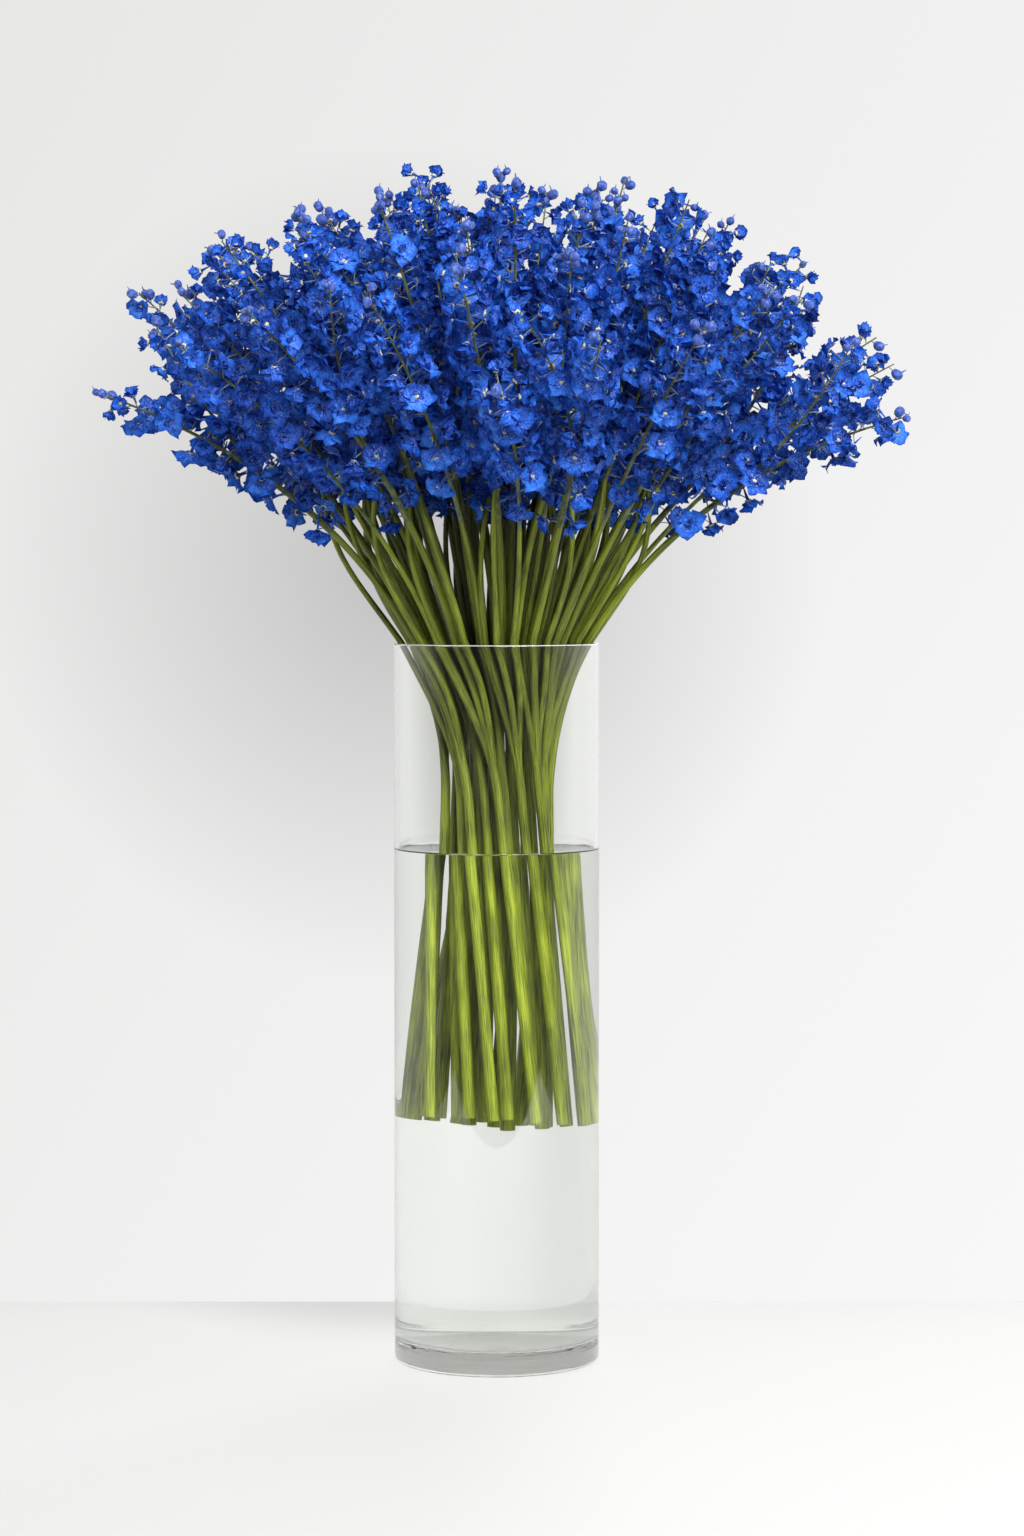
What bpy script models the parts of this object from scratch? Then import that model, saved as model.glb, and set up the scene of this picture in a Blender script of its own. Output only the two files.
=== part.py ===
"""A full bunch of blue larkspur stems standing in a tall glass cylinder vase with water.

Metres, +Z up. The origin is the centre of the vase's underside, on the surface that it stands on.
Run it with: blender --background --python part.py
"""

import functools
import itertools
import math

import bmesh
import bpy
from mathutils import Matrix, Vector
from mathutils.bvhtree import BVHTree

# Vase: a 20 x 70 cm glass cylinder
VASE_RADIUS = 0.100
VASE_HEIGHT = 0.700
WALL = 0.0045
BASE_THICKNESS = 0.023
HEEL = 0.005
FLOOR_FILLET = 0.004
RIM_DROP = 0.0012
TURN_STEPS = 32

# Water
WATER_LEVEL = 0.500
WATER_SHARP_DEGREES = 30
HOLE_WIDENING = 0.00036
HOLE_OVERRUN = 0.010

# A six-sided tube's sides meet at 60 degrees and are shaded as round, and its cut ends are left sharp
TUBE_SHARP_DEGREES = 70

# Clearance between pieces that rest on or in each other, and between a stem's end and its spike, on their axis
GAP = 0.0003
FOOT_GAP = 0.0009

# Stems, laid out as a sunflower head and drawn together at a waist
STEM_COUNT = 29
FIRST_ANGLE = math.radians(126)
GOLDEN_ANGLE = math.radians(137.508)
CUT_LEVEL = 0.232
CUT_UNEVENNESS = 0.010
CUT_SPREAD = 1.43
CUT_TURN = math.radians(30)
WAIST_LEVEL = 0.558
WAIST_RADIUS = 0.054
RIM_RADIUS = 0.0900
RIM_SLOPE = 0.55
RIM_TURN = math.radians(30)

# Above the rim the stems fan out to tips on a low dome
KNEE_RADIUS = 0.192
KNEE_LEVEL = 0.862
KNEE_LIFT = 0.051
DOME_RADIUS = 0.424
DOME_HEIGHT = 0.286
DOME_LEVEL = 0.876
DOME_UNEVENNESS = 0.05
FAN_TURN = math.radians(10)

# Stem radii in millimetres, from the cut end to the foot of the flower spike
CUT_GAUGE = 5.3
WAIST_GAUGE = 5.0
RIM_GAUGE = 4.5
FOOT_GAUGE = 3.5

# Flower spike: a slim core that the florets stand out of, and one side branch
SPIKE_START = 0.24
SPIKE_START_OUTER = 0.13
CORE_STOPS = (0.0, 0.38, 0.80, 1.0)
CORE_GAUGES = (4.2, 9.0, 7.5, 2.0)
BRANCH_STOPS = (0.0, 0.55, 1.0)
BRANCH_GAUGES = (3.0, 7.0, 1.8)
BRANCH_START = 0.14
BRANCH_SPREAD = 0.080
BRANCH_DIRECTIONS = 12
BRANCH_LOWEST = math.radians(99)
BRANCH_REACH = 0.95
SPIKE_FLORETS = 7
SPIKE_RANGE = (0.05, 0.93)
BRANCH_FLORETS = 4
BRANCH_RANGE = (0.40, 0.92)
AXIS_STEP = 0.02
FLORET_ROLL = 1.3

# Floret: a cup of five petals on a stalk, larger than life so that fewer of them cover the head
PETALS = 5
PETAL_REACH = 0.029
PETAL_REACH_AT_TIP = 0.021
NOTCH = 0.73
NOTCH_DROP = 0.16
CUP_FLOOR = 0.26
CUP_DEPTH = 0.46
STALK_SIDES = 3
STALK_GAUGE = 0.0019
STALK_REACH = 0.035
STALK_REACH_AT_TIP = 0.022
STALK_RISE = math.radians(22)
STALK_RISE_AT_TIP = math.radians(38)
CLEARANCE = 0.0012
TURNS_TRIED = (0, 20, -20, 40, -40, 60, -60)
SIZES_TRIED = (1.0, 0.86, 0.72, 0.58)


def material(name, colour, roughness, alpha=1.0, transmission=0.0):
    """A Principled material with the piece's own colour."""
    mat = bpy.data.materials.new(name)
    mat.use_nodes = True
    shader = mat.node_tree.nodes["Principled BSDF"]
    shader.inputs["Base Color"].default_value = (*colour, 1.0)
    shader.inputs["Roughness"].default_value = roughness
    shader.inputs["Metallic"].default_value = 0.0
    shader.inputs["Alpha"].default_value = alpha
    shader.inputs["Transmission Weight"].default_value = transmission
    return mat


def new_collection(name):
    collection = bpy.data.collections.new(name)
    bpy.context.scene.collection.children.link(collection)
    return collection


def clear_scene():
    for obj in list(bpy.data.objects):
        bpy.data.objects.remove(obj, do_unlink=True)


def mesh_object(name, verts, faces, collection):
    mesh = bpy.data.meshes.new(name)
    mesh.from_pydata(verts, [], faces)
    bm = bmesh.new()
    bm.from_mesh(mesh)
    bmesh.ops.recalc_face_normals(bm, faces=bm.faces)
    bm.to_mesh(mesh)
    bm.free()
    obj = bpy.data.objects.new(name, mesh)
    collection.objects.link(obj)
    return obj


def shade_round(mesh, sharp_degrees):
    mesh.shade_smooth()
    mesh.set_sharp_from_angle(angle=math.radians(sharp_degrees))


def tubes(name, runs, collection):
    """Six-sided tubes as one mesh. Each run is a list of (point, radius in millimetres)."""
    curve = bpy.data.curves.new(name, "CURVE")
    curve.dimensions = "3D"
    curve.bevel_depth = 0.001
    curve.bevel_resolution = 1
    curve.use_fill_caps = True
    for run in runs:
        spline = curve.splines.new("POLY")
        spline.points.add(len(run) - 1)
        for control, (point, gauge) in zip(spline.points, run):
            control.co = (*point, 1.0)
            control.radius = gauge
    guide = bpy.data.objects.new(name, curve)
    collection.objects.link(guide)
    graph = bpy.context.evaluated_depsgraph_get()
    mesh = bpy.data.meshes.new_from_object(guide.evaluated_get(graph))
    bm = bmesh.new()
    bm.from_mesh(mesh)
    bmesh.ops.remove_doubles(bm, verts=bm.verts, dist=1e-6)
    bmesh.ops.recalc_face_normals(bm, faces=bm.faces)
    bm.to_mesh(mesh)
    bm.free()
    shade_round(mesh, TUBE_SHARP_DEGREES)
    place = guide.matrix_world.copy()
    bpy.data.objects.remove(guide, do_unlink=True)
    obj = bpy.data.objects.new(name, mesh)
    obj.matrix_world = place
    collection.objects.link(obj)
    return obj


def join_repeats(obj, repeats):
    """One Boolean union with a whole collection, applied, after which the collection is emptied."""
    union = obj.modifiers.new("Join repeats", "BOOLEAN")
    union.operation = "UNION"
    union.operand_type = "COLLECTION"
    union.collection = repeats
    union.solver = "MANIFOLD"  # the same result as EXACT, in a quarter of its time
    bpy.context.view_layer.objects.active = obj
    bpy.ops.object.modifier_apply(modifier=union.name)
    for repeat in list(repeats.objects):
        bpy.data.objects.remove(repeat, do_unlink=True)
    bpy.data.collections.remove(repeats)


# Paths

def polar(radius, angle, level):
    return Vector((radius * math.cos(angle), radius * math.sin(angle), level))


def stem_place(index):
    """A stem's distance from the bunch's axis, as a share of the outermost, and its angle at the waist."""
    return math.sqrt((index + 0.5) / STEM_COUNT), FIRST_ANGLE + index * GOLDEN_ANGLE


def cut_level(index):
    return CUT_LEVEL + CUT_UNEVENNESS * math.sin(2.4 * index)


def below_waist(index, level):
    """Straight from the waist to the cut end: the whole bunch flares and turns in step, so no two stems meet."""
    share, angle = stem_place(index)
    drop = (WAIST_LEVEL - level) / (WAIST_LEVEL - CUT_LEVEL)
    across = complex(math.cos(angle), math.sin(angle)) * share * WAIST_RADIUS
    across *= 1 + drop * (CUT_SPREAD * complex(math.cos(CUT_TURN), math.sin(CUT_TURN)) - 1)
    return Vector((across.real, across.imag, level))


def waist_to_rim(index, rise):
    """The outward bend between the waist (rise 0) and the vase's rim (rise 1), a cubic in the radius."""
    share, angle = stem_place(index)
    height = VASE_HEIGHT - WAIST_LEVEL
    swing = rise * rise * (3 - 2 * rise)
    radius = WAIST_RADIUS + (RIM_RADIUS - WAIST_RADIUS) * swing
    radius += RIM_SLOPE * height * (rise ** 3 - rise ** 2)
    return polar(share * radius, angle - RIM_TURN * rise, WAIST_LEVEL + height * rise)


def dome_tip(slope, angle, reach):
    """A point on the dome of tips: slope is 0 at the top and a right angle at its edge."""
    centre = Vector((0, 0, KNEE_LEVEL))
    tip = polar(DOME_RADIUS * math.sin(slope), angle, DOME_LEVEL + DOME_HEIGHT * math.cos(slope))
    return centre + (tip - centre) * reach


def tip_place(index):
    """Where a stem's tip lies on the dome: its slope, its angle and how far it reaches."""
    share, angle = stem_place(index)
    reach = 1 - DOME_UNEVENNESS * (0.5 + 0.5 * math.cos(5.1 * index))
    return math.asin(share), angle - RIM_TURN - FAN_TURN, reach


def above_rim(index, along):
    """The fan above the rim: a quadratic Bezier curve from the rim (0) over a knee to the tip (1)."""
    share, angle = stem_place(index)
    slope, tip_angle, reach = tip_place(index)
    rim = polar(share * RIM_RADIUS, angle - RIM_TURN, VASE_HEIGHT)
    knee = polar(share * KNEE_RADIUS, angle - RIM_TURN, KNEE_LEVEL + KNEE_LIFT * (1 - share))
    tip = dome_tip(slope, tip_angle, reach)
    return rim * (1 - along) ** 2 + knee * 2 * along * (1 - along) + tip * along ** 2


def spike_start(index):
    """Where the flower spike begins on the fan's curve: further out on the stems that lean the most."""
    return SPIKE_START + SPIKE_START_OUTER * stem_place(index)[0]


def spike_point(index, along):
    start = spike_start(index)
    return above_rim(index, start + (1 - start) * along)


def branch_tips():
    """Each side branch leans into the widest gap among the tips around its own stem's tip."""
    taken = [dome_tip(*tip_place(index)) for index in range(STEM_COUNT)]
    tips = []
    for index in range(STEM_COUNT):
        slope, angle, reach = tip_place(index)
        down = math.hypot(DOME_RADIUS * math.cos(slope), DOME_HEIGHT * math.sin(slope))
        across = DOME_RADIUS * math.sin(slope)
        best = None
        for k in range(BRANCH_DIRECTIONS):
            lean = math.tau * k / BRANCH_DIRECTIONS
            new_slope = slope + BRANCH_SPREAD / down * math.cos(lean)
            new_angle = angle + BRANCH_SPREAD / across * math.sin(lean)
            if new_slope > BRANCH_LOWEST:
                continue
            tip = dome_tip(new_slope, new_angle, reach * BRANCH_REACH)
            room = min((tip - other).length for other in taken)
            if best is None or room > best[0]:
                best = (room, tip)
        tips.append(best[1])
        taken.append(best[1])
    return tips


def branch_point(index, tip, along):
    """A side branch: a quadratic Bezier curve that leaves the spike's own line and ends at its tip."""
    start = spike_start(index) + BRANCH_START
    root = above_rim(index, start)
    heading = (above_rim(index, start + 0.01) - root).normalized()
    knee = root + heading * (tip - root).length * 0.45
    return root * (1 - along) ** 2 + knee * 2 * along * (1 - along) + tip * along ** 2


# Pieces

def turned(name, profile, collection):
    """A turned solid. The profile is (radius, height) pairs that run down its outer side."""
    mesh = bpy.data.meshes.new(name)
    verts = [(radius, 0, height) for radius, height in profile]
    mesh.from_pydata(verts, [(k, k + 1) for k in range(len(verts) - 1)], [])
    obj = bpy.data.objects.new(name, mesh)
    collection.objects.link(obj)
    screw = obj.modifiers.new("Turn", "SCREW")
    screw.steps = TURN_STEPS
    screw.render_steps = TURN_STEPS
    screw.use_merge_vertices = True
    screw.merge_threshold = 0.00001
    screw.use_smooth_shade = True
    return obj


def make_vase(collection):
    """One piece of clear glass: thick base, rounded heel, straight wall and a ground rim."""
    inner = VASE_RADIUS - WALL
    middle = VASE_RADIUS - WALL / 2
    heel_cut = HEEL * (1 - math.sqrt(0.5))
    profile = [
        (0, BASE_THICKNESS),
        (inner - FLOOR_FILLET, BASE_THICKNESS),
        (inner, BASE_THICKNESS + FLOOR_FILLET),
        (inner, VASE_HEIGHT - RIM_DROP),
        (middle, VASE_HEIGHT),
        (VASE_RADIUS, VASE_HEIGHT - RIM_DROP),
        (VASE_RADIUS, HEEL),
        (VASE_RADIUS - heel_cut, heel_cut),
        (VASE_RADIUS - HEEL, 0),
        (0, 0),
    ]
    vase = turned("vase", profile, collection)
    vase.data.materials.append(material("clear glass", (0.90, 0.95, 0.93), 0.03, 0.35, 1.0))


def make_water(collection, cutters):
    """The water fills the vase to its level, chamfered to clear the floor's fillet, with a hole for each stem."""
    radius = VASE_RADIUS - WALL - GAP
    floor = BASE_THICKNESS + GAP
    depth = WATER_LEVEL - floor
    bpy.ops.mesh.primitive_cylinder_add(
        vertices=TURN_STEPS, radius=radius, depth=depth, end_fill_type="NGON", location=(0, 0, floor + depth / 2)
    )
    water = bpy.context.active_object
    water.name = "water"
    water.data.name = "water"
    for owner in list(water.users_collection):
        owner.objects.unlink(water)
    collection.objects.link(water)
    bm = bmesh.new()
    bm.from_mesh(water.data)
    lower = [edge for edge in bm.edges if all(vert.co.z < 0 for vert in edge.verts)]
    bmesh.ops.bevel(bm, geom=lower, offset=FLOOR_FILLET, offset_type="OFFSET", segments=1, affect="EDGES")
    bm.to_mesh(water.data)
    bm.free()
    runs = []
    for index in range(STEM_COUNT):
        low = below_waist(index, cut_level(index) - GAP)
        high = below_waist(index, WATER_LEVEL + HOLE_OVERRUN)
        gauge = CUT_GAUGE + 1000 * HOLE_WIDENING
        runs.append([(low, gauge), (high, gauge)])
    holes = tubes("stem_holes", runs, cutters)
    holes.display_type = "WIRE"
    holes.hide_render = True
    cut = water.modifiers.new("Stem holes", "BOOLEAN")
    cut.operation = "DIFFERENCE"
    cut.object = holes
    cut.solver = "EXACT"
    shade_round(water.data, WATER_SHARP_DEGREES)
    water.data.materials.append(material("water", (0.86, 0.95, 0.97), 0.02, 0.25, 1.0))


def stem_run(index):
    """The stem from its cut end to the foot of its flower spike."""
    start = spike_start(index)
    foot = above_rim(index, start)
    heading = (above_rim(index, start + 0.01) - foot).normalized()
    return [
        (below_waist(index, cut_level(index)), CUT_GAUGE),
        (below_waist(index, WAIST_LEVEL), WAIST_GAUGE),
        (waist_to_rim(index, 0.40), WAIST_GAUGE),
        (waist_to_rim(index, 0.72), RIM_GAUGE),
        (waist_to_rim(index, 1.0), RIM_GAUGE),
        (above_rim(index, start * 0.5), FOOT_GAUGE),
        (foot - heading * FOOT_GAP, FOOT_GAUGE),
    ]


def make_stems(collection):
    green = material("stem green", (0.20, 0.36, 0.04), 0.5)
    stems = []
    for index in range(STEM_COUNT):
        stem = tubes(f"stem_{index + 1:02d}", [stem_run(index)], collection)
        stem.data.materials.append(green)
        stems.append(stem)
    return stems


def core_run(index):
    return [(spike_point(index, stop), gauge) for stop, gauge in zip(CORE_STOPS, CORE_GAUGES)]


def branch_run(index, tip):
    return [(branch_point(index, tip, stop), gauge) for stop, gauge in zip(BRANCH_STOPS, BRANCH_GAUGES)]


def floret(root, heading, roll, petal, stalk, swell=0.0):
    """One floret's points and faces. Swell makes it larger all over, to test that it clears its neighbours."""
    upright = heading.to_track_quat("Z", "Y").to_matrix().to_4x4()
    place = Matrix.Translation(root) @ upright @ Matrix.Rotation(roll, 4, "Z")
    tip = petal + swell
    depth = stalk - CUP_DEPTH * petal - swell
    points = []
    for height, radius in ((0.0, STALK_GAUGE * 0.75), (depth, STALK_GAUGE + swell)):
        for k in range(STALK_SIDES):
            points.append(polar(radius, math.tau * k / STALK_SIDES, height))
    rim = 2 * PETALS
    for k in range(rim):
        is_tip = k % 2 == 0
        radius = tip if is_tip else tip * NOTCH
        height = stalk + swell if is_tip else stalk - NOTCH_DROP * petal
        points.append(polar(radius, math.tau * k / rim, height))
    points.append(Vector((0, 0, stalk - CUP_FLOOR * petal + swell)))
    collar = STALK_SIDES
    first = 2 * STALK_SIDES
    centre = first + rim
    faces = [tuple(range(STALK_SIDES))]
    for k in range(STALK_SIDES):
        after = (k + 1) % STALK_SIDES
        faces.append((k, after, collar + after, collar + k))
    nearest = [collar + round(STALK_SIDES * (k + 0.5) / rim) % STALK_SIDES for k in range(rim)]
    for k in range(rim):
        after = (k + 1) % rim
        faces.append((first + k, first + after, nearest[k]))
        if nearest[after] != nearest[k]:
            faces.append((first + after, nearest[after], nearest[k]))
        faces.append((first + after, first + k, centre))
    return [place @ point for point in points], faces


def solid_tree(obj):
    """A search tree of an object's surface in world space."""
    verts = [obj.matrix_world @ vert.co for vert in obj.data.vertices]
    return BVHTree.FromPolygons(verts, [tuple(face.vertices) for face in obj.data.polygons])


def place_florets(axis, count, stretch, cores, own, taken, repeats, seed):
    """Florets up one axis in a spiral. One that would touch a neighbour is turned, made smaller or left out."""
    first, last = stretch
    for k in range(count):
        share = k / (count - 1)
        along = first + (last - first) * share
        root = axis(along)
        upward = (axis(along + AXIS_STEP) - axis(along - AXIS_STEP)).normalized()
        side = upward.orthogonal().normalized()
        rise = STALK_RISE + (STALK_RISE_AT_TIP - STALK_RISE) * share
        petal = PETAL_REACH + (PETAL_REACH_AT_TIP - PETAL_REACH) * share
        stalk = STALK_REACH + (STALK_REACH_AT_TIP - STALK_REACH) * share
        roll = FLORET_ROLL * (seed + k)
        for size, turn in itertools.product(SIZES_TRIED, TURNS_TRIED):
            angle = GOLDEN_ANGLE * (seed + k) + math.radians(turn)
            outward = Matrix.Rotation(angle, 3, upward) @ side
            heading = outward * math.cos(rise) + upward * math.sin(rise)
            reach = stalk * (1 + size) / 2
            verts, faces = floret(root, heading, roll, petal * size, reach, CLEARANCE)
            swollen = BVHTree.FromPolygons(verts, faces)
            cup = BVHTree.FromPolygons(verts, faces[1 + STALK_SIDES:])
            if any(swollen.overlap(tree) for tree in own + taken) or any(cup.overlap(core) for core in cores):
                continue
            verts, faces = floret(root, heading, roll, petal * size, reach)
            mesh_object("floret", verts, faces, repeats)
            own.append(BVHTree.FromPolygons(verts, faces))
            break


def make_spikes(collection, stems):
    """A flower spike on each stem: its core and side branch first, so that no floret crosses another's."""
    blue = material("petal blue", (0.01, 0.06, 0.48), 0.6)
    tips = branch_tips()
    cores = []
    branches = []
    axis_trees = []
    for index in range(STEM_COUNT):
        cores.append(tubes(f"spike_{index + 1:02d}", [core_run(index)], collection))
        branches.append(tubes("branch", [branch_run(index, tips[index])], collection))
        axis_trees.append([solid_tree(cores[index]), solid_tree(branches[index])])
    taken = [solid_tree(stem) for stem in stems]
    for index in range(STEM_COUNT):
        repeats = new_collection("florets")
        others = list(taken)
        for other in range(STEM_COUNT):
            if other != index:
                others += axis_trees[other]
        own = []
        up_spike = functools.partial(spike_point, index)
        up_branch = functools.partial(branch_point, index, tips[index])
        place_florets(up_spike, SPIKE_FLORETS, SPIKE_RANGE, axis_trees[index], own, others, repeats, 3 * index)
        place_florets(up_branch, BRANCH_FLORETS, BRANCH_RANGE, axis_trees[index], own, others, repeats, 3 * index + 1)
        taken += own
        repeats.objects.link(branches[index])
        collection.objects.unlink(branches[index])
        join_repeats(cores[index], repeats)
        cores[index].data.materials.clear()
        cores[index].data.materials.append(blue)


def main():
    clear_scene()
    parts = new_collection("larkspur in a vase")
    cutters = new_collection("cutters")
    make_vase(parts)
    make_water(parts, cutters)
    stems = make_stems(parts)
    make_spikes(parts, stems)


main()
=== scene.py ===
import math
import random

import bmesh
import bpy
from mathutils import Matrix, Vector


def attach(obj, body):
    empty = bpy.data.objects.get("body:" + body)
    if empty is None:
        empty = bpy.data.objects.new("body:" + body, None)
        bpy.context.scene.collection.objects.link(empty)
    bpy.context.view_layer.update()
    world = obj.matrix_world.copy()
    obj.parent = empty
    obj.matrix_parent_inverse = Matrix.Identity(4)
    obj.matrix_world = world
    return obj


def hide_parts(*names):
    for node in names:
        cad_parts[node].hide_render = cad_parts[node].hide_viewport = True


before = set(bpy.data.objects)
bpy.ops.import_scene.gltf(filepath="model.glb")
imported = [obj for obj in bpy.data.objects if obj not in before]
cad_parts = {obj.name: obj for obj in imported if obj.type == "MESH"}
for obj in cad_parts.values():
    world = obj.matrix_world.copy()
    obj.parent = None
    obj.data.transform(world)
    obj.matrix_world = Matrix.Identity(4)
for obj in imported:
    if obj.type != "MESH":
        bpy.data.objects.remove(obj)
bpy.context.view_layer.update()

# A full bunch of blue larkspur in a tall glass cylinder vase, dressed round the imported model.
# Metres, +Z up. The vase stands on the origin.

chance = random.Random(1893)  # one seeded source, so that every run gives the same bunch


# Modelling helpers

def select(pieces):
    bpy.ops.object.select_all(action="DESELECT")
    for piece in pieces:
        piece.select_set(True)
    bpy.context.view_layer.objects.active = pieces[0]


def pickFaces(piece, test):
    # selects the faces whose middle and normal pass the test
    bpy.ops.mesh.select_all(action="DESELECT")
    mesh = bmesh.from_edit_mesh(piece.data)
    for face in mesh.faces:
        face.select_set(test(face.calc_center_median(), face.normal))
    bmesh.update_edit_mesh(piece.data)


def pickEdges(piece, test):
    # selects the edges whose two ends both pass the test
    bpy.ops.mesh.select_all(action="DESELECT")
    mesh = bmesh.from_edit_mesh(piece.data)
    for edge in mesh.edges:
        if test(edge.verts[0].co) and test(edge.verts[1].co):
            edge.select_set(True)
    bmesh.update_edit_mesh(piece.data)


def holdEdge(level):
    # a ring of edges beside a rounding, so that its soft shading doesn't creep along the straight wall
    bpy.ops.mesh.select_all(action="SELECT")
    bpy.ops.mesh.bisect(plane_co=(0, 0, level), plane_no=(0, 0, 1))


def joinInto(pieces, name):
    select(pieces)
    if len(pieces) > 1:
        bpy.ops.object.join()
    bpy.ops.object.transform_apply(location=True, rotation=True, scale=True)
    piece = bpy.context.object
    piece.name = name
    piece.data.name = name
    return piece


def handOver(piece, nodes=()):
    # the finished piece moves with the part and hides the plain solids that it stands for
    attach(piece, "root")
    if nodes:
        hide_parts(*nodes)


# Material helpers

def colour(hexCode):
    channels = [int(hexCode[k:k + 2], 16) / 255 for k in (1, 3, 5)]
    return (*[c / 12.92 if c <= 0.04045 else ((c + 0.055) / 1.055) ** 2.4 for c in channels], 1.0)


def newMaterial(name):
    material = bpy.data.materials.new(name)
    material.use_nodes = True
    material.node_tree.nodes.clear()
    return material


def addNode(material, kind, values=None, links=None, stops=None, **settings):
    # one node with its settings, socket values, links, and a ramp's stops as (place, hex colour) pairs
    tree = material.node_tree
    node = tree.nodes.new("ShaderNode" + kind)
    for setting, value in settings.items():
        setattr(node, setting, value)
    for socket, value in (values or {}).items():
        node.inputs[socket].default_value = value
    for socket, source in (links or {}).items():
        tree.links.new(source, node.inputs[socket])
    for place, (at, hexCode) in enumerate(stops or ()):
        ramp = node.color_ramp.elements
        stop = ramp[place] if place < 2 else ramp.new(at)
        stop.position = at
        stop.color = colour(hexCode)
    return node


# Camera

cameraValues = {
    "place": (0.0149, -3.885, 0.781),
    "lens": 93.75,
    "sensor": 36.0,
    "tilt": 2.98,  # degrees below level
}


def setCamera():
    camera = bpy.data.cameras.new("camera")
    camera.lens = cameraValues["lens"]
    camera.sensor_width = cameraValues["sensor"]
    camera.clip_end = 50.0
    holder = bpy.data.objects.new("camera", camera)
    holder.location = cameraValues["place"]
    holder.rotation_euler = (math.radians(90 - cameraValues["tilt"]), 0, 0)
    bpy.context.scene.collection.objects.link(holder)
    bpy.context.scene.camera = holder


# Stage and light

stageValues = {
    "width": 3.6,
    "front": -1.6,
    "back": 0.30,  # the table's far edge, the faint line behind the vase
    "thickness": 0.04,
    "rounding": 0.003,
    "table": "#c8c8c7",
    "tableBackPaintedLight": "#dadad9",
    "paintedLightFrom": -0.9,  # painted light: the table is painted paler between these two places on Y, towards its back
    "paintedLightTo": 0.2,
    "mottle": 0.06,
}

lightValues = {
    "backdropLeft": "#e7e7e6",
    "backdropRight": "#f8f8f8",
    "slant": (2.17, 0, -1.42),  # the direction in which the backdrop brightens
    "slantRange": (-0.466, 0.534),
    "shadeAt": (-0.026, 1.0, -0.0015),  # where the bunch's soft shadow is painted on the backdrop, as a direction
    "shadeReach": 0.105,
    "shadeDepth": 0.61,
    "roomLight": 0.18,  # how much of the backdrop's light reaches matt surfaces
    "glassLight": 0.11,  # the same for light that reached them through glass, where lamps count as well
    "mirrorLight": 0.12,  # how much of the room behind the camera shows in reflections
    "mirrorRange": (-0.5, 0.2),  # how far a direction points along Y at that room's edge and the backdrop's
    "lamps": {
        "key": {"power": 310.0, "size": 2.8, "place": (1.4, -3.2, 2.8), "aim": (0.0, 0.0, 0.7)},
        "fill": {"power": 46.0, "size": 2.0, "place": (-2.8, -2.2, 1.8), "aim": (0.0, 0.0, 0.7)},
        "rear": {"power": 62.0, "size": 2.4, "place": (1.0, 3.0, 2.6), "aim": (0.0, 0.0, 0.9)},
    },
}


def matteTable():
    # white matt lacquer on board: even, hardly any gloss, with a faint cloud about 400 mm across, and painted
    # light paler towards the back
    v = stageValues
    material = newMaterial("matt_white_lacquer")
    place = addNode(material, "TexCoord").outputs["Object"]
    axes = addNode(material, "SeparateXYZ", links={"Vector": place})
    # painted light: the colour grows paler towards the table's back
    depth = addNode(material, "MapRange", {"From Min": v["paintedLightFrom"], "From Max": v["paintedLightTo"]},
                    {"Value": axes.outputs["Y"]})
    cloud = addNode(material, "TexNoise", {"Scale": 2.5, "Detail": 3.0}, {"Vector": place})
    mottle = addNode(material, "Math", {1: v["mottle"]}, operation="MULTIPLY_ADD",
                     links={0: cloud.outputs["Fac"], 2: depth.outputs["Result"]})
    shade = addNode(material, "ValToRGB", links={"Fac": mottle.outputs[0]},
                    stops=[(0.0, v["table"]), (1.0, v["tableBackPaintedLight"])])
    surface = addNode(material, "BsdfPrincipled", {"Roughness": 0.7, "Specular IOR Level": 0.2},
                      {"Base Color": shade.outputs["Color"]})
    addNode(material, "OutputMaterial", links={"Surface": surface.outputs["BSDF"]})
    return material


def setStage():
    v = stageValues
    middle = (v["back"] + v["front"]) / 2
    bpy.ops.object.select_all(action="DESELECT")
    bpy.ops.mesh.primitive_cube_add(size=1, location=(0, middle, -v["thickness"] / 2))
    table = bpy.context.object
    table.scale = (v["width"], v["back"] - v["front"], v["thickness"])
    table = joinInto([table], "table")
    rounding = table.modifiers.new("rounding", "BEVEL")
    rounding.width = v["rounding"]
    rounding.segments = 3
    bpy.ops.object.modifier_apply(modifier=rounding.name)
    table.data.materials.append(matteTable())


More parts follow.
